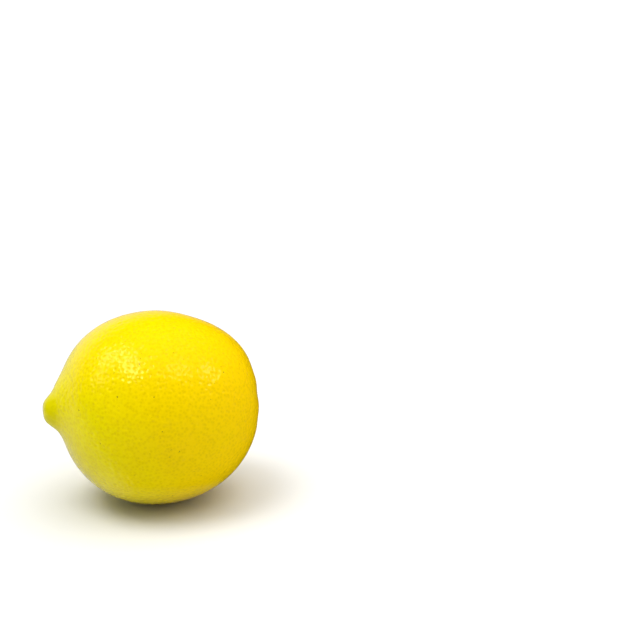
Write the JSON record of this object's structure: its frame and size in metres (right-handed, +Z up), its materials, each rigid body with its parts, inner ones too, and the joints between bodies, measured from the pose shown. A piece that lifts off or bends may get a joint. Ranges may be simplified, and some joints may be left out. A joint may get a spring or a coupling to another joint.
{
  "type": "lemon",
  "caption": "Whole fresh lemon lying on its side, with a blunt nipple at one end and the dried remains of the calyx in a shallow basin at the other.",
  "frame": {"origin": "on the surface that the lemon rests on, under the middle of its outline", "axes": "+Z up; the fruit's long axis runs along X, with the nipple towards -X and the stem end towards +X; +Y away from the picture's camera"},
  "size_m": [0.0706, 0.0632, 0.0635],
  "materials": {
    "rind": "waxy, finely pitted lemon rind",
    "dried_calyx": "dry and matt, with a pale cut stalk"
  },
  "bodies": {
    "root": {"fruit": "rind", "calyx": "dried_calyx"}
  },
  "joints": []
}
